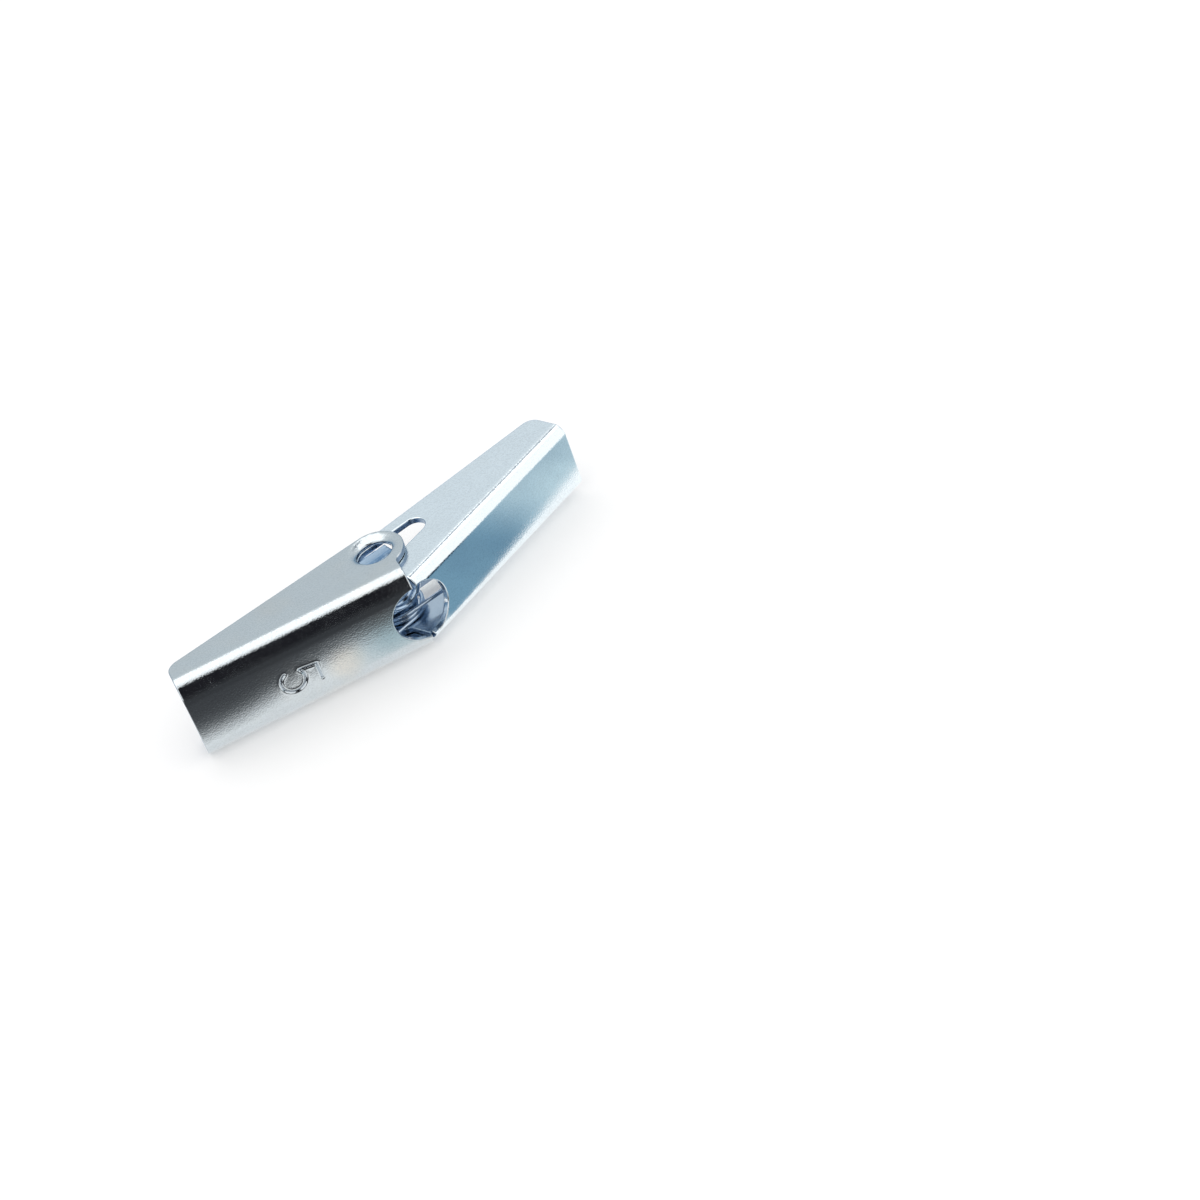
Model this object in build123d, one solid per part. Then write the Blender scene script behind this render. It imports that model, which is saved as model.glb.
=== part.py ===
from build123d import *
from math import acos, atan2, cos, degrees, hypot, radians, sin, sqrt, tan
import os

# Spring toggle for an M5 machine screw: two pressed sheet wings, one nested in the
# other, fold on the trunnion ends of a tapped nut and are held open by a torsion
# spring. It lies on its side, on the outer wing's lower flange.
# Millimetres. The origin is where the thread's axis crosses the trunnion's axis.
# +X runs along the open toggle to the inner wing's tip, +Y towards the screw's
# head, +Z up along the trunnion. The webs face -Y.

# Sheet metal
sheet = 0.8                 # thickness of the pressed sheet
bend_inside = 0.6           # inner radius of the bends between web and flanges
side_gap = 0.1              # play between the outer and the inner wing's flanges

# Wings, measured from the trunnion's axis
outer_width = 11.0          # over the outer wing's flanges
wing_length = 26.8          # to the tip
web_height = 7.4            # to the web's outer face
open_angle = 15.0           # tilt of each wing when the webs' ends meet
stop_gap = 0.2              # play between the webs' ends at that stop
ear_radius = 3.6            # round end of the flanges, about the trunnion
free_edge_slope = 12.7      # of the flange's free edge against the web
tip_corner = 1.6            # rounding of the flange's corner at the tip
neck_fillet = 0.8           # inside corner between the ear and the web's end

# Openings in the sheet
pivot_clearance = 0.08      # radial play of the trunnion in the flanges
keyhole_reach = 5.9         # from the trunnion to the far end of the inner wing's slot
keyhole_rise = 0.85         # the slot's far end lies this much nearer to the web
keyhole_end = 1.45          # radius of the slot's far end
notch_radius = 3.55         # half-round notches that make the screw's hole
stake_radius = 2.65         # dished zone pressed into the outer wing at each trunnion end
stake_offset = 0.5          # its middle lies this far from the pivot, towards the free edge
stake_slope = 25.0          # of the dished zone's wall

# Trunnion nut
tap_radius = 2.1            # wall of the tapped M5 hole
screw_radius = 2.5          # the M5 screw that passes through
screw_gap = 0.1             # between the screw and the spring beside it
boss_radius = 3.15          # tapped middle, round about the screw
boss_height = 4.8           # of the tapped middle, along the screw
boss_edge = 0.3             # broken edges of the tapped middle
countersink = 0.35          # at both mouths of the tapped hole
barrel_radius = 2.6         # round shoulders, inside the coil and across from it
shoulder_gap = 0.1          # between the shoulders and the inner wing's flanges
trunnion_radius = 2.1       # round side of the D-shaped ends
trunnion_flat = 0.9         # from the trunnion's axis to the flat side
trunnion_half_width = 1.9   # cheeks of the D-shaped ends
end_recess = 0.3            # the ends stop short of the outer wing's faces
end_dip = 0.5               # the hollow end faces lie this much deeper at their flat side

# Torsion spring
wire = 0.5                  # diameter of the wire
coil_gap = 0.25             # between the coil and the barrel in it
coil_turns = 2
turn_gap = 0.05             # between neighbouring turns
coil_seat = 0.1             # between the coil and what stands on both sides of it
leg_length = 10.0           # from the coil to the leg's end under a web
leg_seat = 0.08             # between a leg's end and the web that it pushes

# Worked out from the sizes above
inner_width = outer_width - 2 * (sheet + side_gap)
web_inside = web_height - sheet
web_setback = web_inside * tan(radians(open_angle)) - stop_gap / 2 / cos(radians(open_angle))
inner_flange = inner_width / 2 - sheet
coil_radius = barrel_radius + coil_gap + wire / 2
coil_pitch = wire + turn_gap
coil_height = coil_turns * coil_pitch + wire
coil_above_flange = coil_seat + coil_height
thread_offset = max(0, screw_radius + screw_gap + coil_above_flange - inner_flange)
middle = -thread_offset     # height of the wings' middle plane below the thread's axis
coil_bottom = middle - inner_flange + coil_seat + wire / 2
shoulder = inner_flange - shoulder_gap


def channel(width):
    """Straight U section with its web towards -Y, drawn along +X."""
    depth = web_height + 2 * ear_radius
    aligned = (Align.MIN, Align.CENTER)
    outside = Pos(-web_height, 0) * Rectangle(depth, width, align=aligned)
    outside = fillet(outside.vertices().group_by(Axis.X)[0], bend_inside + sheet)
    inside = Pos(-web_inside, 0) * Rectangle(depth, width - 2 * sheet, align=aligned)
    inside = fillet(inside.vertices().group_by(Axis.X)[0], bend_inside)
    return extrude(Plane.YZ.offset(-2 * ear_radius) * (outside - inside), 2 * ear_radius + wing_length)


def side_outline():
    """Flange seen from the side: ear, sloping free edge and rounded tip corner."""
    slope = radians(free_edge_slope)
    touch = (ear_radius * sin(slope), ear_radius * cos(slope))
    tip = (wing_length, (ear_radius - wing_length * sin(slope)) / cos(slope))
    blade = make_face(Polyline(touch, tip, (wing_length, -web_height),
                               (-web_setback, -web_height), (-web_setback, 0), close=True))
    outline = Circle(ear_radius) + blade
    neck = (-web_setback, -sqrt(ear_radius**2 - web_setback**2))
    outline = fillet(outline.vertices().sort_by_distance(tip)[0], tip_corner)
    return fillet(outline.vertices().sort_by_distance(neck)[0], neck_fillet)


def pressed_wing(width, pivot):
    """One folded sheet with its trunnion axis on Z and its tip towards +X."""
    body = channel(width) & extrude(side_outline(), width, both=True)
    body -= extrude(pivot, width, both=True)
    notch = Cylinder(notch_radius, 4 * sheet)
    return body - Pos(-web_setback, -web_height, 0) * Rot(90, 0, 0) * notch


def keyhole():
    """Inner wing's pivot hole, drawn out to a tapered slot towards the tip."""
    near = Circle(trunnion_radius + pivot_clearance)
    far = Pos(keyhole_reach, -keyhole_rise) * Circle(keyhole_end)
    return make_hull(near.edges() + far.edges())


def stake_marks():
    """Conical tools that dish the outer wing's faces beside the trunnion's ends."""
    depth = stake_radius * tan(radians(stake_slope))
    tool = Pos(0, stake_offset, outer_width / 2 - depth / 2) * Cone(0.01, stake_radius, depth)
    return tool + mirror(tool, about=Plane.XY)


def trunnion_nut():
    """Tapped boss, round shoulders and D-shaped ends, pressed from one blank."""
    boss = Rot(90, 0, 0) * Cylinder(boss_radius, boss_height)
    boss = chamfer(boss.edges().filter_by(GeomType.CIRCLE), boss_edge)
    spring_side = middle - inner_flange + coil_above_flange + coil_seat
    between = Box(4 * boss_radius, 2 * boss_height, middle + shoulder - spring_side,
                  align=(Align.CENTER, Align.CENTER, Align.MIN))
    boss &= Pos(0, 0, spring_side) * between
    barrel = Cylinder(barrel_radius, 2 * shoulder) & Box(2 * barrel_radius, boss_height, 2 * shoulder)
    d_shape = Circle(trunnion_radius) & Pos(0, trunnion_flat) * Rectangle(
        2 * trunnion_half_width, 2 * trunnion_radius, align=(Align.CENTER, Align.MAX))
    reach = outer_width / 2 - end_recess
    ends = extrude(d_shape, reach, both=True)
    lowest = trunnion_flat / 2
    rise = trunnion_radius + lowest
    hollow_radius = (rise**2 + end_dip**2) / (2 * end_dip)
    hollow = Rot(0, 90, 0) * Cylinder(hollow_radius, 4 * trunnion_radius)
    for side in (1, -1):
        ends -= Pos(0, lowest, side * (reach + hollow_radius - end_dip)) * hollow
    nut = boss + Pos(0, 0, middle) * (barrel + ends)
    nut -= Rot(90, 0, 0) * Cylinder(tap_radius, 2 * boss_height)
    for side in (1, -1):
        mouth = Rot(-90 * side, 0, 0) * Cone(tap_radius, tap_radius + countersink, countersink)
        nut -= Pos(0, side * (boss_height - countersink) / 2, 0) * mouth
    return nut


def torsion_spring():
    """Coil about the barrel, with a straight leg under each wing's web."""
    reach = web_inside - wire / 2 - leg_seat
    span = hypot(coil_radius, leg_length)
    spread = degrees(atan2(leg_length, coil_radius) - acos(reach / span)) - open_angle
    turning = coil_turns - 2 * spread / 360
    coil = Helix(coil_pitch, turning * coil_pitch, coil_radius)
    coil = Pos(0, 0, coil_bottom) * Rot(0, 0, spread - 90) * coil
    start = Plane(origin=coil @ 0, z_dir=coil % 0)
    end = Plane(origin=coil @ 1, z_dir=coil % 1)
    section = Circle(wire / 2)
    turns = sweep(start * section, path=coil, is_frenet=True)
    return turns + extrude(start * section, -leg_length) + extrude(end * section, leg_length)


pivot_hole = Circle(trunnion_radius + pivot_clearance)
outer_place = Pos(0, 0, middle) * Rot(0, 0, -open_angle) * Rot(0, 180, 0)
inner_place = Pos(0, 0, middle) * Rot(0, 0, open_angle)

parts = {
    "outer_wing": outer_place * (pressed_wing(outer_width, pivot_hole) - stake_marks()),
    "inner_wing": inner_place * pressed_wing(inner_width, keyhole()),
    "trunnion_nut": trunnion_nut(),
    "torsion_spring": torsion_spring(),
}

os.makedirs("parts", exist_ok=True)
for name, solid in parts.items():
    export_step(solid, f"parts/{name}.step")
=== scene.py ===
# Spring toggle: two zinc plated sheet wings on a tapped nut, with a torsion spring.
# Sizes in the dictionaries are millimetres, everything in Blender is metres.
import math

import bmesh
import bpy
import numpy as np
from mathutils import Matrix, Vector, noise
from mathutils.geometry import delaunay_2d_cdt


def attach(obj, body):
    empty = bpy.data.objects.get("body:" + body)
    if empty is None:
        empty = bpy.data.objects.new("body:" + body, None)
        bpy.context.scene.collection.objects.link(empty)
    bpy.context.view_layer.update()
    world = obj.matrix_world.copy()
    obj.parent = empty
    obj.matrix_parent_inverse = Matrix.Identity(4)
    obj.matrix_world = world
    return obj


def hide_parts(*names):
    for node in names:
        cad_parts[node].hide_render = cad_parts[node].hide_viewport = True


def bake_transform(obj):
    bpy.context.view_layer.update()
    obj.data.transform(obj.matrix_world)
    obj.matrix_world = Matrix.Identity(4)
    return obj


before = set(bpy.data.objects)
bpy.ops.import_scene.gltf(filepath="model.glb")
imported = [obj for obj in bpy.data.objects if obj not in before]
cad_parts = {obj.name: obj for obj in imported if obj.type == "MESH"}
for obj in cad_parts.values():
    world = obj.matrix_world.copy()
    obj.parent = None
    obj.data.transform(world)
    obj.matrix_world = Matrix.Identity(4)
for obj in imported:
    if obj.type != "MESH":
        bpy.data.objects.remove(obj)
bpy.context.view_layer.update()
mm = 0.001


class Wire:
    # one output socket that can be used in sums
    def __init__(self, tree, socket):
        self.tree = tree
        self.socket = socket

    def math(self, operation, first, second):
        return self.tree.add("ShaderNodeMath", {"operation": operation}, {0: first, 1: second})

    def __add__(self, other):
        return self.math("ADD", self, other)

    def __radd__(self, other):
        return self.math("ADD", other, self)

    def __sub__(self, other):
        return self.math("SUBTRACT", self, other)

    def __rsub__(self, other):
        return self.math("SUBTRACT", other, self)

    def __mul__(self, other):
        return self.math("MULTIPLY", self, other)

    def __rmul__(self, other):
        return self.math("MULTIPLY", other, self)

    def __truediv__(self, other):
        return self.math("DIVIDE", self, other)

    def __rtruediv__(self, other):
        return self.math("DIVIDE", other, self)


class Tree:
    # node tree of a material or of the world
    def __init__(self, owner):
        owner.use_nodes = True
        self.nodes = owner.node_tree.nodes
        self.links = owner.node_tree.links
        self.nodes.clear()

    def add(self, kind, settings=None, inputs=None, out=0):
        node = self.nodes.new(kind)
        for name, value in (settings or {}).items():
            if name == "stops":
                self.setStops(node.color_ramp, value)
            else:
                setattr(node, name, value)
        for key, value in (inputs or {}).items():
            if isinstance(value, Wire):
                self.links.new(value.socket, node.inputs[key])
            else:
                node.inputs[key].default_value = value
        return Wire(self, node.outputs[out]) if node.outputs else node

    def setStops(self, ramp, stops):
        while len(ramp.elements) < len(stops):
            ramp.elements.new(1.0)
        for element, (place, colour) in zip(ramp.elements, stops):
            element.position = place
            element.color = colour

    def mixColour(self, factor, first, second):
        return self.add("ShaderNodeMix", {"data_type": "RGBA"}, {0: factor, 6: first, 7: second}, out=2)

    def fade(self, value, low, high):
        # smooth step from 0 at low to 1 at high
        return self.add("ShaderNodeMapRange", {"interpolation_type": "SMOOTHSTEP"},
                        {"Value": value, "From Min": low, "From Max": high})


def rgba(red, green, blue):
    return (red, green, blue, 1.0)


zincFinish = {
    "plate": (0.775, 0.84, 0.875),      # bluish zinc
    "warm": (0.86, 0.80, 0.70),         # straw tint of the passivation
    "paintedEdgeShade": (0.16, 0.24, 0.36),    # painted shade on the sheared edges
    "inside": (0.42, 0.52, 0.64),       # painted shade inside the channel, a darker bluish plate
    "insideShadeShare": 0.8,                 # how much of that painted shade shows
    "edgeShadeShare": 0.85,                  # and of the painted shade on the edges
    "stampShadeShare": 0.35,                 # the same painted shade in the numeral's groove
    "roughness": 0.085,
    "roughSpread": 0.05,                # more in the smudges
    "roughEdge": 0.14,
    "roughInside": 0.08,
    "patchSize": 7.0,                   # mm, straw coloured clouds
    "smudgeSize": 2.6,
    "smudgeDark": 0.80,
    "smudgeShare": 0.16,
    "grainSize": 0.20,
    "grainHeight": 0.016,
    "grainDark": 0.7,
    "grainShare": 1.2,
    "peelSize": 0.9,
    "peelHeight": 0.006,
    "tintPlace": (-10.1, -4.95, -1.7),  # a straw coloured spot beside the numeral
    "tintSize": 3.2,
    "tintShare": 0.6,
}


def zincMaterial(name, finish, paintedLightTone, warmth):
    material = bpy.data.materials.new(name)
    tree = Tree(material)
    place = tree.add("ShaderNodeTexCoord", out=3)

    def cloud(size, detail, rough, shift):
        moved = tree.add("ShaderNodeVectorMath", {"operation": "ADD"},
                         {0: place, 1: (shift, shift, shift)})
        return tree.add("ShaderNodeTexNoise", {"noise_dimensions": "3D"},
                        {"Vector": moved, "Scale": 1 / (size * mm), "Detail": detail, "Roughness": rough})

    edge = tree.add("ShaderNodeAttribute", {"attribute_name": "edge"}, out=2)
    stamp = tree.add("ShaderNodeAttribute", {"attribute_name": "stamp"}, out=2)
    inside = tree.add("ShaderNodeAttribute", {"attribute_name": "inside"}, out=2)
    patches = tree.fade(cloud(finish["patchSize"], 3.0, 0.6, 0.3), 0.45, 0.75)
    smudges = tree.fade(cloud(finish["smudgeSize"], 4.0, 0.65, 0.7), 0.35, 0.75)
    grain = cloud(finish["grainSize"], 2.0, 0.6, 0.0)
    peel = cloud(finish["peelSize"], 2.0, 0.5, 0.2)
    spot = tree.add("ShaderNodeVectorMath", {"operation": "DISTANCE"},
                    {0: place, 1: [c * mm for c in finish["tintPlace"]]}, out=1)
    spot = spot / (finish["tintSize"] * mm)
    tint = (1 - tree.fade(spot, 0.2, 1.0)) * finish["tintShare"] + patches * warmth
    plate = [c * paintedLightTone for c in finish["plate"]]
    warm = [c * paintedLightTone for c in finish["warm"]]
    smudged = [c * finish["smudgeDark"] for c in plate]
    grained = [c * finish["grainDark"] for c in plate]
    colour = tree.mixColour(tint, rgba(*plate), rgba(*warm))
    colour = tree.mixColour(smudges * finish["smudgeShare"], colour, rgba(*smudged))
    colour = tree.mixColour((grain - 0.42) * finish["grainShare"], colour, rgba(*grained))
    # painted shade inside the channel, on the sheared edges and in the numeral's groove
    colour = tree.mixColour(inside * finish["insideShadeShare"], colour, rgba(*finish["inside"]))
    colour = tree.mixColour(edge * finish["edgeShadeShare"], colour, rgba(*finish["paintedEdgeShade"]))
    colour = tree.mixColour(stamp * finish["stampShadeShare"], colour, rgba(*finish["paintedEdgeShade"]))
    rough = finish["roughness"] + finish["roughSpread"] * smudges
    rough = rough + finish["roughEdge"] * edge + finish["roughInside"] * inside
    height = grain * finish["grainHeight"] + peel * finish["peelHeight"]
    bump = tree.add("ShaderNodeBump", {}, {"Strength": 1.0, "Distance": mm, "Height": height})
    shader = tree.add("ShaderNodeBsdfPrincipled", {},
                      {"Base Color": colour, "Metallic": 1.0, "Roughness": rough, "Normal": bump})
    tree.add("ShaderNodeOutputMaterial", {}, {"Surface": shader})
    return material


sheetSizes = {
    "sheet": 0.8,
    "bendInside": 0.6,
    "wingLength": 26.8,
    "webHeight": 7.4,
    "webSetback": 1.665,
    "earRadius": 3.6,
    "freeEdgeSlope": 12.7,
    "tipCorner": 1.6,
    "neckFillet": 0.8,
    "notchRadius": 3.55,
    "openAngle": 15.0,
    "middle": -0.5,                     # height of the wings' middle plane
    "edgeRound": 0.12,                  # rounding of the sheared edges
    "edgeGuard": 0.07,                  # first row of the flats, beside that rounding
    "edgeStep": 0.12,                   # spacing along the edges
    "edgeTorn": 0.012,                  # unevenness of the sheared edges
    "tornScale": 1.9,                   # how quickly it changes, per mm
    "wallRows": (0.12, -0.12),          # heights of the edge's rows between the roundings
    "meshStep": 0.42,                   # spacing on the flats
    "bendSteps": (0.3, 0.1),            # spacing in the bends, along and across
    "rowPacking": 0.87,                 # rows of even triangles lie closer than their points
    "pointGap": 0.12,                   # from the first row to the next points
    "sliver": 0.0001,                   # flattest triangle that is kept, height in mm
    "waviness": 0.012,                  # unevenness of the flats
    "waveScale": (0.16, 0.2),
    "holeShade": 0.35,                  # share of the painted edge shade in a plain pivot hole
    "notchShade": 0.15,                 # in the screw's hole
    "rimShade": 0.1,                    # on the roundings
    "normalWeight": 60,
}
outerWing = {
    "width": 11.0,
    "side": -1,
    "hole": [(0.0, 0.0, 2.18)],         # along, across from the web, radius
    "numeral": True,
    "bendRound": 2.6,                   # outside radius of the bends
    "dish": (0.5, 2.65, 25.0, 0.04),    # dished zone at the pivot: offset, radius, slope, softness
    "paintedLightTone": 0.82,                       # darker copy of the plate's colour: painted shade on the outer wing
    "warmth": 0.25,                     # straw tint in its clouds
}
innerWing = {
    "width": 9.2,
    "side": 1,
    "hole": [(0.0, 0.0, 2.18), (5.9, -0.85, 1.45)],
    "numeral": False,
    "bendRound": 1.4,
    "dish": None,
    # lighter copy of the plate's colour: painted light on the inner wing
    "paintedLightTone": 1.13,
    "warmth": 0.08,
}
numeral = {
    "along": 13.9,                      # from the trunnion to the numeral's middle
    "across": -0.4,
    "height": 4.6,
    "stroke": 0.24,                     # half width of the groove
    "depth": 0.15,
    "showThrough": 0.25,                # share of the depth that shows inside the channel
    "lip": 0.03,                        # metal raised beside the groove
    "lipPlace": 1.25,                   # its place, in half widths of the groove
    "lipWidth": 0.11,
    "fine": 0.09,                       # mesh spacing round the numeral
    "fineReach": 2.2,                   # in half widths of the groove
    "patch": 3.2,                       # half size of the numeral's field
}


def arcPoints(centre, radius, start, end, step):
    count = max(3, int(abs(math.radians(end - start)) * radius / step) + 1)
    angles = np.radians(np.linspace(start, end, count))
    return [(centre[0] + radius * math.cos(a), centre[1] + radius * math.sin(a)) for a in angles]


def linePoints(start, end, step):
    count = max(2, int(math.dist(start, end) / step) + 1)
    return [tuple(p) for p in np.linspace(start, end, count)]


def joinRuns(runs):
    points = []
    for run in runs:
        for p in run:
            if not points or math.dist(points[-1], p) > 1e-5:
                points.append(p)
    if math.dist(points[0], points[-1]) < 1e-5:
        points.pop()
    return points


def numeralStrokes(sizes):
    # strokes of a plain 5 in flat sheet coordinates: tops towards the hinge
    bowl = arcPoints((0.30, 0.315), 0.315, 128, -150, 0.03)
    strokes = [[(0.60, 1.0), (0.13, 1.0), (0.075, 0.545)], [(0.075, 0.545)] + bowl]
    placed = []
    for stroke in strokes:
        placed.append([(sizes["along"] - (y - 0.5) * sizes["height"],
                        sizes["across"] - (x - 0.31) * sizes["height"]) for x, y in stroke])
    return placed


def strokeDistance(points, strokes):
    best = np.full(len(points), 1e9)
    for stroke in strokes:
        for a, b in zip(stroke[:-1], stroke[1:]):
            a, b = np.array(a), np.array(b)
            t = np.clip(((points - a) @ (b - a)) / max((b - a) @ (b - a), 1e-12), 0, 1)
            best = np.minimum(best, np.linalg.norm(points - a - t[:, None] * (b - a), axis=1))
    return best


def insideLoops(points, loops):
    # even-odd test against all loops together
    inside = np.zeros(len(points), bool)
    for loop in loops:
        ring = np.array(loop)
        nextRing = np.roll(ring, -1, axis=0)
        for (x0, y0), (x1, y1) in zip(ring, nextRing):
            if y0 == y1:
                continue
            crosses = (points[:, 1] > min(y0, y1)) & (points[:, 1] <= max(y0, y1))
            reach = x0 + (points[:, 1] - y0) * (x1 - x0) / (y1 - y0)
            inside ^= crosses & (points[:, 0] < reach)
    return inside


def hexPoints(low, high, stepAlong, stepAcross):
    # every second row is shifted by half a step, for even triangles
    rows = []
    for i, y in enumerate(np.arange(low[1], high[1], stepAcross)):
        shift = stepAlong / 2 if i % 2 else 0.0
        rows += [(x, y) for x in np.arange(low[0] + shift, high[0], stepAlong)]
    return rows


def foldedWing(name, sizes, wing, body, material):
    half = wing["width"] / 2 - sizes["sheet"] - sizes["bendInside"]
    bendRadius = sizes["bendInside"] + sizes["sheet"] / 2
    arc = bendRadius * math.pi / 2
    bendStart = sizes["webHeight"] - sizes["sheet"] - sizes["bendInside"]
    slope = math.radians(sizes["freeEdgeSlope"])
    length, setback, ear = sizes["wingLength"], sizes["webSetback"], sizes["earRadius"]
    step, corner, neck = sizes["edgeStep"], sizes["tipCorner"], sizes["neckFillet"]
    pivot = half + arc + bendStart              # the trunnion's axis in the flat sheet
    tight = sizes["bendInside"] + sizes["sheet"]
    spare = wing["bendRound"] - tight           # what the rounder bend takes from both flats

    # one half of the blank, from the middle of the tip round to the notch
    tip = (length - corner, (ear - corner - (length - corner) * math.sin(slope)) / math.cos(slope))
    fillet = (-setback - neck, -math.sqrt((ear + neck) ** 2 - (setback + neck) ** 2))
    lean = math.degrees(math.atan2(-fillet[1], -fillet[0]))
    flange = joinRuns([
        arcPoints(tip, corner, 0, 90 - sizes["freeEdgeSlope"], step),
        arcPoints((0, 0), ear, 90 - sizes["freeEdgeSlope"], 180 + lean, step),
        arcPoints(fillet, neck, lean, 0, step),
    ])
    flange = [(x, y + pivot) for x, y in flange]
    notch = arcPoints((-setback, 0), sizes["notchRadius"], 90, 0, step)
    runs = [linePoints((length, 0), flange[0], step)]
    for a, b in zip(flange[:-1], flange[1:]):
        runs.append(linePoints(a, b, step))
    runs += [linePoints(flange[-1], notch[0], step), notch]
    upper = joinRuns(runs)
    lower = [(x, -y) for x, y in reversed(upper[1:-1])]
    loops = [upper + lower]

    # pivot hole or keyhole, run clockwise so that the metal is on the left
    for side in (1, -1):
        circles = [(x, y * side + pivot * side, r) for x, y, r in wing["hole"]]
        if len(circles) == 1:
            x, y, r = circles[0]
            hole = arcPoints((x, y), r, 360, 0, step)[:-1]
        else:
            (x0, y0, r0), (x1, y1, r1) = circles
            heading = math.degrees(math.atan2(y1 - y0, x1 - x0))
            spread = math.degrees(math.acos((r0 - r1) / math.hypot(x1 - x0, y1 - y0)))
            far = arcPoints((x1, y1), r1, heading + spread, heading - spread, step)
            near = arcPoints((x0, y0), r0, heading - spread, heading + spread - 360, step)
            hole = joinRuns([far, linePoints(far[-1], near[0], step),
                             near, linePoints(near[-1], far[0], step)])
        loops.append(hole)

    # loops moved inwards by the edge rounding
    normals, insets, guards = [], [], []
    for loop in loops:
        ring = np.array(loop)
        ahead = np.roll(ring, -1, axis=0) - ring
        ahead /= np.linalg.norm(ahead, axis=1)[:, None]
        left = np.stack([-ahead[:, 1], ahead[:, 0]], axis=1)
        mitre = left + np.roll(left, 1, axis=0)
        mitre /= np.maximum((mitre * left).sum(axis=1), 0.8)[:, None]       # kept short at corners
        normals.append(mitre)
        insets.append(ring + mitre * sizes["edgeRound"])
        guards.append(ring + mitre * (sizes["edgeRound"] + sizes["edgeGuard"]))

    # points on the flats, closer in the bends and round the numeral
    flats = (sizes["meshStep"], sizes["meshStep"] * sizes["rowPacking"])
    near, far = half - spare, half + arc + spare
    fine = hexPoints((-ear, -near), (length, near), *flats)
    for side in (1, -1):
        fine += [(x, side * y) for x, y in hexPoints((-ear, near), (length, far), *sizes["bendSteps"])]
        fine += [(x, side * y) for x, y in hexPoints((-ear, far), (length, pivot + ear), *flats)]
    fine = np.array(fine)
    strokes = numeralStrokes(numeral)
    if wing["numeral"]:
        reach = numeral["stroke"] * numeral["fineReach"]
        fine = fine[strokeDistance(fine, strokes) > reach]
        x, y, patch = numeral["along"], numeral["across"], numeral["patch"]
        dense = np.array(hexPoints((x - patch, y - patch), (x + patch, y + patch),
                                   numeral["fine"], numeral["fine"] * sizes["rowPacking"]))
        fine = np.vstack([fine, dense[strokeDistance(dense, strokes) <= reach]])
    fine = fine[insideLoops(fine, insets)]
    edgePoints = np.vstack(insets)
    guardPoints = np.vstack(guards)
    clear = np.ones(len(fine), bool)
    for start in range(0, len(fine), 2000):
        block = fine[start:start + 2000]
        gap = np.linalg.norm(block[:, None] - guardPoints[None], axis=2).min(axis=1)
        clear[start:start + 2000] = gap > sizes["pointGap"]
    fine = np.vstack([guardPoints, fine[clear]])

    # triangles of the flat sheet
    flat = np.vstack([edgePoints, fine])
    edges, first = [], 0
    for ring in insets:
        count = len(ring)
        edges += [(first + i, first + (i + 1) % count) for i in range(count)]
        first += count
    solved = delaunay_2d_cdt([Vector(p) for p in flat], edges, [], 0, 1e-7)
    flat = np.array([tuple(p) for p in solved[0]])
    triangles = np.array(solved[2])
    triangles = triangles[insideLoops(flat[triangles].mean(axis=1), insets)]
    sides = flat[triangles] - np.roll(flat[triangles], 1, axis=1)
    area = np.abs(sides[:, 0, 0] * sides[:, 1, 1] - sides[:, 0, 1] * sides[:, 1, 0])
    longest = np.linalg.norm(sides, axis=2).max(axis=1)
    triangles = triangles[area > sizes["sliver"] * longest]     # none along the straight edges
    newIndex = {old: i for i, olds in enumerate(solved[3]) for old in olds}

    def fold(points, rise):
        # flat sheet to the folded wing, rise is the distance from the sheet's middle
        along, across = points[:, 0], points[:, 1]
        over = np.clip(np.abs(across) - half, 0, arc)
        angle = over / bendRadius
        past = np.maximum(np.abs(across) - half - arc, 0)
        sign = np.sign(across)
        down = bendStart + (bendRadius + rise) * np.cos(angle) - past
        out = sign * (np.minimum(np.abs(across), half) + (bendRadius + rise) * np.sin(angle))
        down = np.where(np.abs(across) <= half, bendStart + bendRadius + rise, down)
        return np.stack([along, down, out], axis=1)

    def rounder(points):
        # how far the wider bend lies inside the tight one
        over = np.abs(points[:, 1]) - half
        angle = np.clip(over, 0, arc) / bendRadius
        lean = np.cos(angle) + np.sin(angle)
        radius = wing["bendRound"]
        drop = np.sqrt(spare ** 2 * (lean ** 2 - 2) + radius ** 2) - spare * lean - tight
        gap = np.clip(spare - np.maximum(-over, over - arc), 0, None)
        flat = np.sqrt(radius ** 2 - gap ** 2) - radius
        return np.where((over > 0) & (over < arc), drop, flat)

    def relief(points, outside):
        # numeral struck into the web, and the slight unevenness of pressed sheet
        waves = points * sizes["waveScale"] + (5 * wing["side"], 0)     # not alike on both wings
        wave = np.array([noise.noise((x, y, 1.7)) for x, y in waves])
        lift = wave * sizes["waviness"] + rounder(points)
        if wing["dish"] and outside:
            offset, radius, lean, soft = wing["dish"]
            reach = np.hypot(points[:, 0], np.abs(points[:, 1]) - pivot - offset)
            drop = (radius - reach) * math.tan(math.radians(lean))
            lift = lift - (drop + np.sqrt(drop * drop + soft * soft)) / 2
        if wing["numeral"]:
            gap = strokeDistance(points, strokes)
            groove = np.clip(1 - gap / numeral["stroke"], 0, 1)
            groove = groove * groove * (3 - 2 * groove)
            lip = np.exp(-((gap - numeral["stroke"] * numeral["lipPlace"]) / numeral["lipWidth"]) ** 2)
            lift = lift - numeral["depth"] * groove * (1.0 if outside else numeral["showThrough"])
            lift = lift + (numeral["lip"] * lip if outside else 0)
            return lift, groove
        return lift, np.zeros(len(points))

    thick = sizes["sheet"] / 2
    liftOut, groove = relief(flat, True)
    liftIn, _ = relief(flat, False)
    faceCount = len(flat)
    verts = [fold(flat, thick + liftOut), fold(flat, -thick + liftIn)]
    edgeMask = [np.zeros(faceCount), np.zeros(faceCount)]
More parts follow.
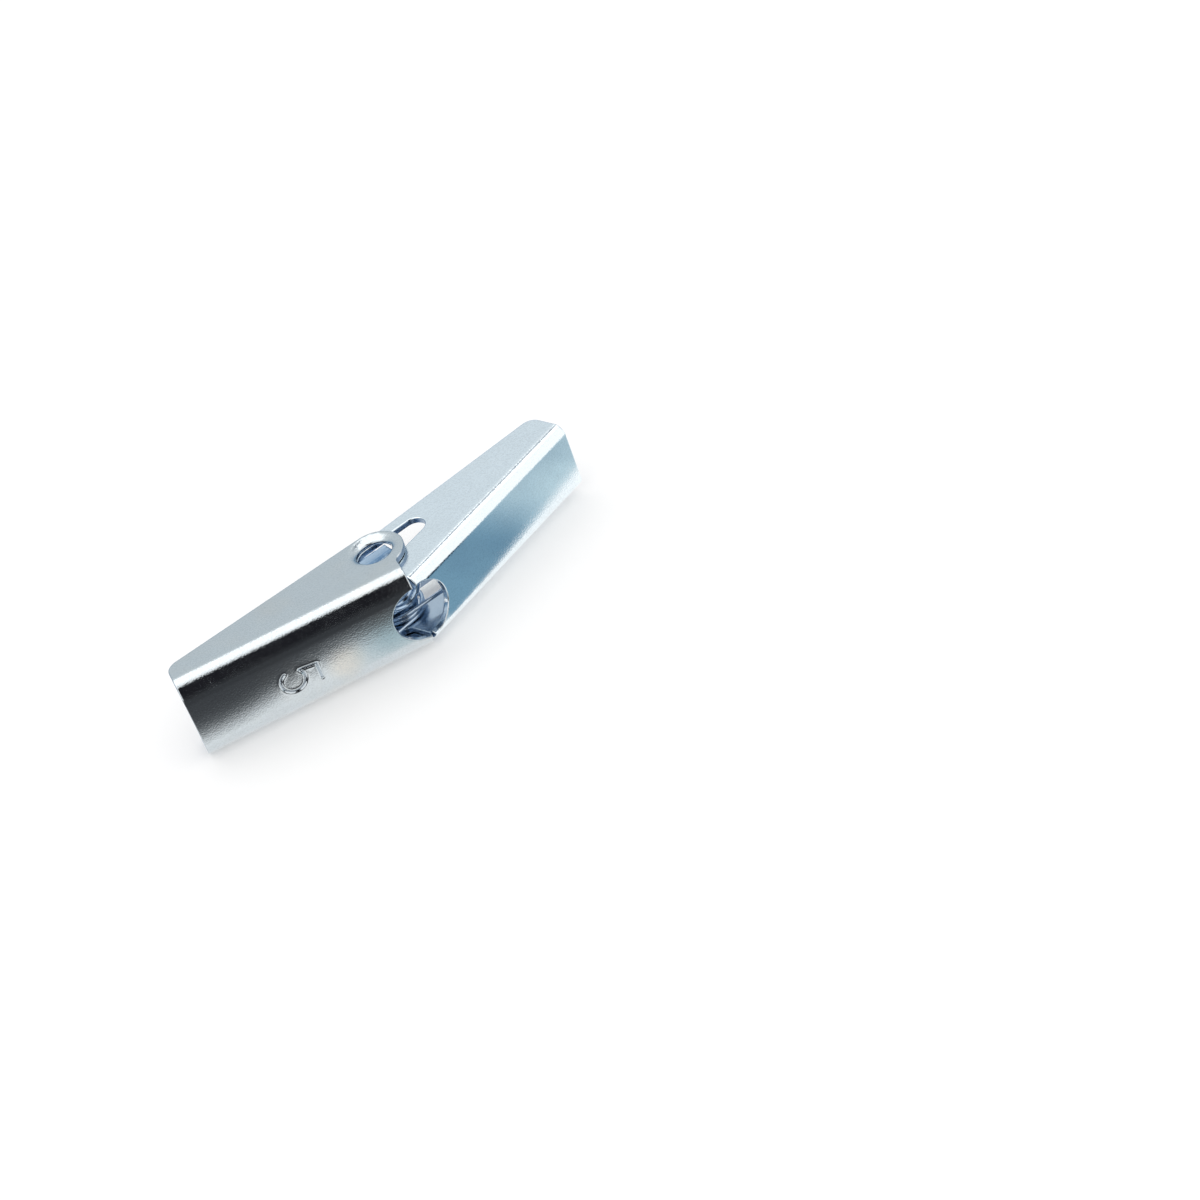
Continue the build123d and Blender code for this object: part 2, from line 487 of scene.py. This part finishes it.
    # the groove's depth also sets its painted shade
    stampMask = [groove, np.zeros(faceCount)]
    # the inner faces get the painted shade of the channel and more roughness
    insideMask = [np.zeros(faceCount), np.ones(faceCount)]
    faces = [tuple(t) for t in triangles] + [tuple(reversed(t + faceCount)) for t in triangles]
    total = 2 * faceCount

    # sheared edge: rounded at both faces, straight between
    turn = sizes["edgeRound"]
    bends = [math.radians(a) for a in (30, 60, 90)]
    profile = [(turn * (1 - math.sin(a)), thick - turn * (1 - math.cos(a))) for a in bends]
    profile += [(0.0, height) for height in sizes["wallRows"]]
    profile += [(turn * (1 - math.sin(a)), -thick + turn * (1 - math.cos(a))) for a in reversed(bends)]
    first = 0
    for loop, mitre in zip(loops, normals):
        ring = np.array(loop)
        count = len(ring)
        plain = len(wing["hole"]) == 1 and loop is not loops[0]
        # painted shade on the sheared walls: full on the outline and the keyhole, less in a plain pivot
        # hole, in the screw's hole and on the roundings
        shade = np.full(count, sizes["holeShade"] if plain else 1.0)
        reach = np.hypot(ring[:, 0] + setback, ring[:, 1])
        shade[np.abs(reach - sizes["notchRadius"]) < step / 2] = sizes["notchShade"]
        top, bottom = relief(ring, True)[0], relief(ring, False)[0]
        rows = [[newIndex[first + i] for i in range(count)]]
        for inset, rise in profile:
            share = (rise + thick) / (2 * thick)
            torn = np.array([noise.noise((x, y, rise * 3)) for x, y in ring * sizes["tornScale"]])
            moved = ring + mitre * (inset + np.maximum(torn * sizes["edgeTorn"], 0))[:, None]
            verts.append(fold(moved, rise + bottom + (top - bottom) * share))
            rim = abs(rise) >= thick - turn * 0.5
            edgeMask.append(np.full(count, sizes["rimShade"]) if rim else shade)
            stampMask.append(np.zeros(count))
            insideMask.append(np.zeros(count))
            rows.append(list(range(total, total + count)))
            total += count
        rows.append([newIndex[first + i] + faceCount for i in range(count)])
        for low, high in zip(rows[:-1], rows[1:]):
            for i in range(count):
                j = (i + 1) % count
                faces.append((low[j], low[i], high[i], high[j]))
        first += count

    # from the wing to the model: along, down towards the web, across
    points = np.vstack(verts)
    tilt = math.radians(sizes["openAngle"])
    side = wing["side"]
    alongAxis = np.array([side * math.cos(tilt), math.sin(tilt), 0])
    downAxis = np.array([side * math.sin(tilt), -math.cos(tilt), 0])
    acrossAxis = np.array([0, 0, 1])
    placed = points @ np.stack([alongAxis, downAxis, acrossAxis]) + np.array([0, 0, sizes["middle"]])
    if side < 0:
        faces = [tuple(reversed(f)) for f in faces]     # this wing is mirrored
    mesh = bpy.data.meshes.new(name)
    mesh.from_pydata([tuple(p) for p in placed * mm], [], faces)
    mesh.validate()
    for label, masks in (("edge", edgeMask), ("stamp", stampMask), ("inside", insideMask)):
        attribute = mesh.attributes.new(label, "FLOAT", "POINT")
        attribute.data.foreach_set("value", np.concatenate(masks).astype(np.float32))
    mesh.polygons.foreach_set("use_smooth", [True] * len(mesh.polygons))
    mesh.materials.append(material)
    piece = bpy.data.objects.new(name, mesh)
    bpy.context.scene.collection.objects.link(piece)
    weighted = piece.modifiers.new("evenNormals", "WEIGHTED_NORMAL")
    weighted.mode = "FACE_AREA_WITH_ANGLE"
    weighted.weight = sizes["normalWeight"]
    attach(piece, body)
    print(name, len(mesh.vertices), "vertices", len(mesh.polygons), "faces")
    return piece


# one zinc in two copies: shaded for the outer wing, lit for the inner one
outerZinc = zincMaterial("zincSheetOuter", zincFinish, outerWing["paintedLightTone"], outerWing["warmth"])
innerZinc = zincMaterial("zincSheetInner", zincFinish, innerWing["paintedLightTone"], innerWing["warmth"])
outerPiece = foldedWing("outerWing", sheetSizes, outerWing, "outer_wing_arm", outerZinc)
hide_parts("outer_wing")
innerPiece = foldedWing("innerWing", sheetSizes, innerWing, "inner_wing_arm", innerZinc)
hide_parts("inner_wing")
print("wings folded")


nutSizes = {
    "voxel": 0.075,
    "smoothing": (0.5, 3),              # factor and rounds
    "tapRadius": 2.1,
    "tapBand": 0.45,                    # points this close behind the tapped wall belong to it
    "threadDepth": 0.34,
    "pitch": 0.8,
    "threadHalf": 0.375,                # half width of a groove at its mouth, in pitches
    "threadFlank": 0.3125,              # width of its flank, in pitches
    "endStart": 4.6,                    # the trunnion ends begin this far from the middle
    "endFace": 5.1,                     # and their faces lie past this
    "endRough": 0.012,
    "skinRough": 0.006,
    "skinScale": 1.3,
    "middle": -0.5,
}
nutFinish = {
    "plate": (0.50, 0.64, 0.80),
    # painted shade colour for the thread and the end faces
    "paintedEdgeShade": (0.30, 0.42, 0.58),
    "grainHeight": 0.009,
    "paintedLightTone": 1.0,
    "warmth": 0.1,
    "cutShadeShare": 0.35,                   # painted shade in the thread and on the end faces
}


def tappedNut(name, sizes, finish, material):
    # the CAD nut as an even mesh, so that the thread can be pressed into its bore
    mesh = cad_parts["trunnion_nut"].data.copy()
    work = bmesh.new()
    work.from_mesh(mesh)
    bmesh.ops.remove_doubles(work, verts=work.verts, dist=1e-6)
    work.to_mesh(mesh)
    work.free()
    rough = bpy.data.objects.new(name + "Rough", mesh)
    bpy.context.scene.collection.objects.link(rough)
    voxels = rough.modifiers.new("voxels", "REMESH")
    voxels.mode = "VOXEL"
    voxels.voxel_size = sizes["voxel"] * mm
    smooth = rough.modifiers.new("smooth", "SMOOTH")
    smooth.factor, smooth.iterations = sizes["smoothing"]
    bpy.context.view_layer.update()
    solved = rough.evaluated_get(bpy.context.evaluated_depsgraph_get())
    mesh = bpy.data.meshes.new_from_object(solved)
    bpy.data.objects.remove(rough)

    # thread in the bore
    points = np.empty(len(mesh.vertices) * 3)
    mesh.vertices.foreach_get("co", points)
    points = points.reshape(-1, 3) / mm
    facing = np.empty(len(mesh.vertices) * 3)
    mesh.vertices.foreach_get("normal", facing)
    facing = facing.reshape(-1, 3)
    radius = np.hypot(points[:, 0], points[:, 2])
    inward = (facing[:, 0] * points[:, 0] + facing[:, 2] * points[:, 2]) / np.maximum(radius, 1e-6)
    turn = np.arctan2(points[:, 0], points[:, 2]) / (2 * math.pi)
    phase = np.mod(points[:, 1] / sizes["pitch"] - turn, 1.0)
    depth = np.clip((sizes["threadHalf"] - np.abs(phase - 0.5)) / sizes["threadFlank"], 0, 1)
    depth = sizes["threadDepth"] * depth
    wall = (radius < sizes["tapRadius"] + sizes["tapBand"]) & (inward < -0.3)
    wanted = np.maximum(radius, sizes["tapRadius"] + depth)
    scale = np.where(wall, wanted / np.maximum(radius, 1e-6), 1.0)
    points[:, 0] *= scale
    points[:, 2] *= scale

    # uneven skin, torn where the trunnion's ends were cut off
    height = np.abs(points[:, 2] - sizes["middle"])
    for i, (x, y, z) in enumerate(points):
        skin = noise.noise(points[i] * sizes["skinScale"]) * sizes["skinRough"]
        if height[i] > sizes["endStart"] and abs(facing[i][2]) > 0.4:
            torn = noise.noise((x * 0.9, y * 2.6, z)) + 0.6 * noise.noise((x * 3.1, y * 3.1, z + 4))
            skin += (torn - 0.35) * sizes["endRough"]
        points[i] += facing[i] * skin
    mesh.vertices.foreach_set("co", (points * mm).ravel())
    edge = mesh.attributes.new("edge", "FLOAT", "POINT")
    # painted shade in the thread and on the end faces; the same attribute also adds roughness there
    edge.data.foreach_set("value", np.where(wall | (height > sizes["endFace"]), finish["cutShadeShare"], 0.0))
    mesh.polygons.foreach_set("use_smooth", [True] * len(mesh.polygons))
    mesh.materials.clear()
    mesh.materials.append(material)
    mesh.update()
    piece = bpy.data.objects.new(name, mesh)
    bpy.context.scene.collection.objects.link(piece)
    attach(piece, "nut")
    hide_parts("trunnion_nut")
    print(name, len(mesh.vertices), "vertices", len(mesh.polygons), "faces")


nutZinc = zincMaterial("zincNut", {**zincFinish, **nutFinish}, nutFinish["paintedLightTone"], nutFinish["warmth"])
tappedNut("trunnionNut", nutSizes, nutFinish, nutZinc)
print("nut tapped")


springSizes = {
    "wire": 0.5,
    "radius": 3.1,
    "bottom": -3.95,
    "pitch": 0.55,
    "turns": 2,
    "legLength": 10.0,
    "spread": 4.6,                      # degrees, leg against the wings' plane
    "cut": 0.06,                        # broken edge of the wire's ends
    "around": 18,                       # points round the wire
    "turnSteps": 160,                   # along one turn
    "legSteps": 60,                     # along a leg
    "bendSteps": 24,                    # a point this far along a leg is looked up
}
springFinish = {
    "dark": (0.46, 0.56, 0.68),
    "pale": (0.66, 0.76, 0.86),
    "paleShare": 0.6,
    "roughness": 0.18,
    "roughSpread": 0.14,
    "cloudScale": 600.0,
    "drawnScale": 2600.0,               # marks of the wire drawing
    "drawnHeight": 0.003,
}


def springMaterial(name, finish):
    material = bpy.data.materials.new(name)
    tree = Tree(material)
    place = tree.add("ShaderNodeTexCoord", out=3)
    drawn = tree.add("ShaderNodeTexNoise", {"noise_dimensions": "3D"},
                     {"Vector": place, "Scale": finish["drawnScale"], "Detail": 2.0, "Roughness": 0.6})
    cloud = tree.add("ShaderNodeTexNoise", {"noise_dimensions": "3D"},
                     {"Vector": place, "Scale": finish["cloudScale"], "Detail": 3.0})
    colour = tree.mixColour(cloud * finish["paleShare"], rgba(*finish["dark"]), rgba(*finish["pale"]))
    rough = finish["roughness"] + finish["roughSpread"] * cloud
    height = drawn * finish["drawnHeight"]
    bump = tree.add("ShaderNodeBump", {}, {"Strength": 1.0, "Distance": mm, "Height": height})
    shader = tree.add("ShaderNodeBsdfPrincipled", {},
                      {"Base Color": colour, "Metallic": 1.0, "Roughness": rough, "Normal": bump})
    tree.add("ShaderNodeOutputMaterial", {}, {"Surface": shader})
    return material


def wireTube(name, path, sizes, cutEnd, material):
    # a ring of points round each point of the path, and flat ends
    points = np.array(path)
    ahead = np.gradient(points, axis=0, edge_order=2)
    ahead /= np.linalg.norm(ahead, axis=1)[:, None]
    upright = np.array([0.0, 0.0, 1.0])
    sideways = np.cross(ahead, upright)
    sideways /= np.linalg.norm(sideways, axis=1)[:, None]
    lifted = np.cross(sideways, ahead)
    count = sizes["around"]
    angles = np.linspace(0, 2 * math.pi, count, endpoint=False)
    verts, faces = [], []
    centres = list(points)
    frames = list(zip(sideways, lifted))
    radii = [sizes["wire"] / 2] * len(points)
    if cutEnd:
        centres = centres[:-1] + [points[-1] - ahead[-1] * sizes["cut"], points[-1]]
        frames = frames[:-1] + [frames[-1], frames[-1]]
        radii = radii[:-1] + [radii[-1], radii[-1] - sizes["cut"]]
    for centre, (side, lift), r in zip(centres, frames, radii):
        for a in angles:
            verts.append(centre + r * (math.cos(a) * side + math.sin(a) * lift))
    for i in range(len(centres) - 1):
        for j in range(count):
            k = (j + 1) % count
            faces.append((i * count + k, i * count + j, (i + 1) * count + j, (i + 1) * count + k))
    for ring, turned in ((0, False), (len(centres) - 1, True)):
        cap = list(range(len(verts), len(verts) + count))
        verts += verts[ring * count:(ring + 1) * count]
        faces.append(tuple(reversed(cap)) if turned else tuple(cap))
    mesh = bpy.data.meshes.new(name)
    mesh.from_pydata([tuple(p * mm) for p in verts], [], faces)
    mesh.polygons.foreach_set("use_smooth", [len(f) == 4 for f in faces])
    mesh.materials.append(material)
    piece = bpy.data.objects.new(name, mesh)
    bpy.context.scene.collection.objects.link(piece)
    return piece


def torsionSpring(sizes, material):
    turning = sizes["turns"] - 2 * sizes["spread"] / 360
    steps = np.linspace(0, turning, int(turning * sizes["turnSteps"]))
    angles = np.radians(sizes["spread"] - 90 + 360 * steps)
    coil = np.stack([sizes["radius"] * np.cos(angles), sizes["radius"] * np.sin(angles),
                     sizes["bottom"] + sizes["pitch"] * steps], axis=1)
    rise = sizes["pitch"] / (2 * math.pi)
    coilPiece = wireTube("springCoil", coil, sizes, False, material)
    legs = []
    for name, end, angle, way in (("springLegOuter", coil[0], angles[0], -1),
                                  ("springLegInner", coil[-1], angles[-1], 1)):
        heading = np.array([-math.sin(angle) * sizes["radius"], math.cos(angle) * sizes["radius"], rise])
        heading *= way / np.linalg.norm(heading)
        path = [end + heading * d for d in np.linspace(0, sizes["legLength"], sizes["legSteps"])]
        legs.append((wireTube(name, path, sizes, True, material), path))
    return coilPiece, legs


springSteel = springMaterial("springWire", springFinish)
coilPiece, legs = torsionSpring(springSizes, springSteel)
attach(coilPiece, "nut")
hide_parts("torsion_spring")
for (piece, path), body in zip(legs, ("outer_wing_arm", "inner_wing_arm")):
    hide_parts("torsion_spring")
    bendEnd = path[springSizes["bendSteps"]]
    tuple(path[0] * mm)
    tuple(bendEnd * mm)
    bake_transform(piece)
print("spring wound")


studio = {
    "floorHeight": -6.0,                # mm, the toggle lies on its side
    "floorSize": 3.0,                   # metres
    "floorColour": (0.96, 0.96, 0.96),
    "floorWhite": 1.12,                 # strength of the plain white that is mixed in
    "floorGlow": 0.15,                  # its share in the floor that is seen
    "mirrorGlow": 0.60,                 # and in reflections of the floor
    "cameraPlace": (-99.94, -263.40, 203.86),
    "cameraRight": (0.7556, -0.5936, -0.2771),
    "cameraUp": (0.5611, 0.3680, 0.7415),
    "lens": 90.85,
}


def studioCamera(settings):
    camera = bpy.data.cameras.new("camera")
    camera.lens = settings["lens"]
    camera.sensor_width = 36.0
    camera.clip_start = 0.01
    holder = bpy.data.objects.new("camera", camera)
    right = Vector(settings["cameraRight"]).normalized()
    up = Vector(settings["cameraUp"])
    up = (up - right * up.dot(right)).normalized()
    back = right.cross(up)
    turn = Matrix((right, up, back)).transposed().to_4x4()
    holder.matrix_world = Matrix.Translation(Vector(settings["cameraPlace"]) * mm) @ turn
    bpy.context.scene.collection.objects.link(holder)
    bpy.context.scene.camera = holder


def stagePlane(name, size, height, material):
    low, high = -size, size
    mesh = bpy.data.meshes.new(name)
    mesh.from_pydata([(low, low, height), (high, low, height), (high, high, height), (low, high, height)],
                     [], [(0, 1, 2, 3)])
    mesh.materials.append(material)
    plane = bpy.data.objects.new(name, mesh)
    bpy.context.scene.collection.objects.link(plane)
    return plane


def studioFloor(settings):
    material = bpy.data.materials.new("paleFloor")
    tree = Tree(material)
    camera = tree.add("ShaderNodeLightPath", out=0)
    glossy = tree.add("ShaderNodeLightPath", out=3)
    through = tree.add("ShaderNodeLightPath", out=6)
    pale = tree.add("ShaderNodeBsdfDiffuse", {}, {"Color": rgba(*settings["floorColour"])})
    white = tree.add("ShaderNodeEmission", {}, {"Color": rgba(1, 1, 1), "Strength": settings["floorWhite"]})
    share = (camera + through) * settings["floorGlow"] + glossy * settings["mirrorGlow"]
    surface = tree.add("ShaderNodeMixShader", {}, {0: share, 1: pale, 2: white})
    tree.add("ShaderNodeOutputMaterial", {}, {"Surface": surface})
    stagePlane("floor", settings["floorSize"], settings["floorHeight"] * mm, material)


# cards in front of the webs: run is measured along a wing from the trunnion,
# gap is the distance in front of its web, and pairs say where a card fades in or out
flags = {
    "height": -5.97,                    # mm, just above the floor
    "size": 3.0,                        # metres
    "web": 7.4,
    "angle": 15.0,
    "darkNear": (0.17, 0.175, 0.18),    # dark card before the outer web, at its near edge
    "dark": (0.070, 0.072, 0.078),
    "darkFar": (0.055, 0.057, 0.062),
    "darkStart": 8.0,                   # where the dark card begins, near the trunnion
    "darkDrop": 3.2,                    # and how much nearer it begins towards the tip
    "darkSoft": 2.1,
    "dropRun": (5.0, 24.0),
    "darkGap": (0.0, 5.0),
    "farGap": (12.0, 20.0),
    "hingeRun": (-9.0, -4.0),           # where the cards of the outer wing end past the hinge
    "hingeLean": 0.4,
    "mist": (0.40, 0.57, 0.62),         # pale card before the outer web, near the hinge
    "mistShare": 0.8,
    "mistRun": (2.0, 9.0),
    "mistGap": (0.5, 6.0),
    "blueLeft": (0.185, 0.33, 0.44),    # blue card before the inner web
    "blueRight": (0.54, 0.68, 0.74),
    "blueTurn": (15.0, 27.0),           # from the first blue to the second
    "blueStart": 0.8,
    "blueLean": 0.085,
    "blueSoft": 1.2,
    "blueRun": (0.5, 3.5),
    "blueGap": (22.0, 30.0),
    "tipRun": (15.0, 19.0),             # past this run the card is shallower
    "tipGap": (13.0, 20.0),
    "navy": (0.01, 0.03, 0.06),         # far from the web, near the hinge
    "navyGap": (11.5, 14.0),
    "mottle": (0.11, 0.20, 0.29),       # clouds in the blue
    "mottleShare": 0.4,
    "mottleScale": 130.0,
}


def studioFlags(settings):
    # only reflections see these cards: dark before the outer web, blue before the inner one
    material = bpy.data.materials.new("flags")
    tree = Tree(material)
    place = tree.add("ShaderNodeTexCoord", out=3)
    tilt = math.radians(settings["angle"])

    def measure(side):
        # millimetres along a wing and in front of its web
        axes = ((side * math.cos(tilt), math.sin(tilt), 0), (side * math.sin(tilt), -math.cos(tilt), 0))
        run, gap = [tree.add("ShaderNodeVectorMath", {"operation": "DOT_PRODUCT"},
                             {0: place, 1: axis}, out=1) / mm for axis in axes]
        return run, gap - settings["web"]

    def fade(value, name):
        return tree.fade(value, *settings[name])

    def addCard(surface, share, colour):
        card = tree.add("ShaderNodeEmission", {}, {"Color": colour, "Strength": 1.0})
        return tree.add("ShaderNodeMixShader", {}, {0: share, 1: surface, 2: card})

    # outer wing
    run, gap = measure(-1)
    edge = gap - settings["darkStart"] + settings["darkDrop"] * fade(run, "dropRun")
    dark = tree.fade(edge, -settings["darkSoft"], settings["darkSoft"])
    dark = dark * fade(run + gap * settings["hingeLean"], "hingeRun")
    darkShade = tree.mixColour(fade(edge, "darkGap"), rgba(*settings["darkNear"]), rgba(*settings["dark"]))
    darkShade = tree.mixColour(fade(gap, "farGap"), darkShade, rgba(*settings["darkFar"]))
    mist = (1 - fade(run, "mistRun")) * fade(run, "hingeRun") * fade(gap, "mistGap")

    # inner wing
    run, gap = measure(1)
    edge = gap - settings["blueStart"] - settings["blueLean"] * run
    blue = tree.fade(edge, 0.0, settings["blueSoft"]) * fade(run, "blueRun")
    hinge = 1 - fade(run, "tipRun")
    blue = blue * (1 - fade(gap, "tipGap") * (1 - hinge)) * (1 - fade(gap, "blueGap")) * (1 - dark)
    mottle = tree.add("ShaderNodeTexNoise", {"noise_dimensions": "3D"},
                      {"Vector": place, "Scale": settings["mottleScale"], "Detail": 4.0, "Roughness": 0.65})
    mottle = tree.fade(mottle, 0.42, 0.72) * settings["mottleShare"]
    shade = tree.mixColour(fade(run, "blueTurn"), rgba(*settings["blueLeft"]), rgba(*settings["blueRight"]))
    shade = tree.mixColour(mottle, shade, rgba(*settings["mottle"]))
    shade = tree.mixColour(fade(gap, "navyGap") * hinge, shade, rgba(*settings["navy"]))

    surface = addCard(tree.add("ShaderNodeBsdfTransparent"), blue, shade)
    surface = addCard(surface, mist * settings["mistShare"], rgba(*settings["mist"]))
    surface = addCard(surface, dark, darkShade)
    tree.add("ShaderNodeOutputMaterial", {}, {"Surface": surface})
    plane = stagePlane("flags", settings["size"], settings["height"] * mm, material)
    plane.visible_camera = False
    plane.visible_diffuse = False
    plane.visible_shadow = False
    plane.visible_transmission = False


# pairs say where the board and the line fade in or out, as parts of a direction
sky = {
    "white": (1.12, 1.12, 1.12),
    "angle": 15.0,
    "dark": (0.013, 0.013, 0.017),      # board that the outer wing's bend reflects
    "darkLow": (0.034, 0.035, 0.039),
    "boardLeft": (-0.31, -0.21),
    "boardRight": (0.14, 0.22),
    "boardFront": (-0.26, -0.18),
    "boardRise": (0.05, 0.5),
    "line": (0.40, 0.43, 0.47),         # fine line in the inner wing's bend
    "lineNear": (0.22, 0.26),
    "lineFar": (0.43, 0.47),
    "lineLeft": (0.34, 0.40),
    "lineRight": (0.60, 0.66),
    "lineRise": (0.6, 0.7),
    "backAim": (0.25, 1, 0),
    "backTurn": (-0.2, 0.15),
    # by height, behind the toggle
    "back": [(0.0, (0.04, 0.09, 0.17)), (0.14, (0.12, 0.24, 0.38)), (0.30, (0.34, 0.47, 0.60)),
             (0.48, (0.64, 0.70, 0.75)), (0.60, (0.72, 0.77, 0.80)), (0.74, (0.84, 0.88, 0.90)),
             (0.79, (1.65, 1.65, 1.65))],
}


def studioWorld(settings):
    # reflections see a graded sky with a dark board over the front, all else is plain white
    world = bpy.data.worlds.new("studio")
    bpy.context.scene.world = world
    tree = Tree(world)
    direction = tree.add("ShaderNodeTexCoord", out=0)
    glossy = tree.add("ShaderNodeLightPath", out=3)
    camera = tree.add("ShaderNodeLightPath", out=0)

    def lean(x, y, z):
        aim = Vector((x, y, z)).normalized()
        return tree.add("ShaderNodeVectorMath", {"operation": "DOT_PRODUCT"},
                        {0: direction, 1: tuple(aim)}, out=1)

    def fade(value, name):
        return tree.fade(value, *settings[name])

    tilt = math.radians(settings["angle"])
    upward, ahead = lean(0, 0, 1), lean(0, 1, 0)
    height = tree.add("ShaderNodeValToRGB", {"stops": [(z, rgba(*c)) for z, c in settings["back"]]},
                      {"Fac": upward})
    back = fade(lean(*settings["backAim"]), "backTurn")
    colour = tree.mixColour(back, rgba(*settings["white"]), height)
    across = lean(-math.cos(tilt), math.sin(tilt), 0)
    board = fade(across, "boardLeft") * (1 - fade(across, "boardRight")) * (1 - fade(ahead, "boardFront"))
    shade = tree.mixColour(fade(upward, "boardRise"), rgba(*settings["darkLow"]), rgba(*settings["dark"]))
    colour = tree.mixColour(board, colour, shade)
    across = lean(math.cos(tilt), math.sin(tilt), 0)
    line = fade(ahead, "lineNear") * (1 - fade(ahead, "lineFar"))
    line = line * fade(across, "lineLeft") * (1 - fade(across, "lineRight")) * fade(upward, "lineRise")
    colour = tree.mixColour(line, colour, rgba(*settings["line"]))
    colour = tree.mixColour(glossy, rgba(*settings["white"]), colour)
    colour = tree.mixColour(camera, colour, rgba(1, 1, 1))
    surface = tree.add("ShaderNodeBackground", {}, {"Color": colour, "Strength": 1.0})
    tree.add("ShaderNodeOutputWorld", {}, {"Surface": surface})


studioCamera(studio)
studioFloor(studio)
studioFlags(flags)
studioWorld(sky)
bpy.context.scene.view_settings.view_transform = "Standard"
print("studio set")
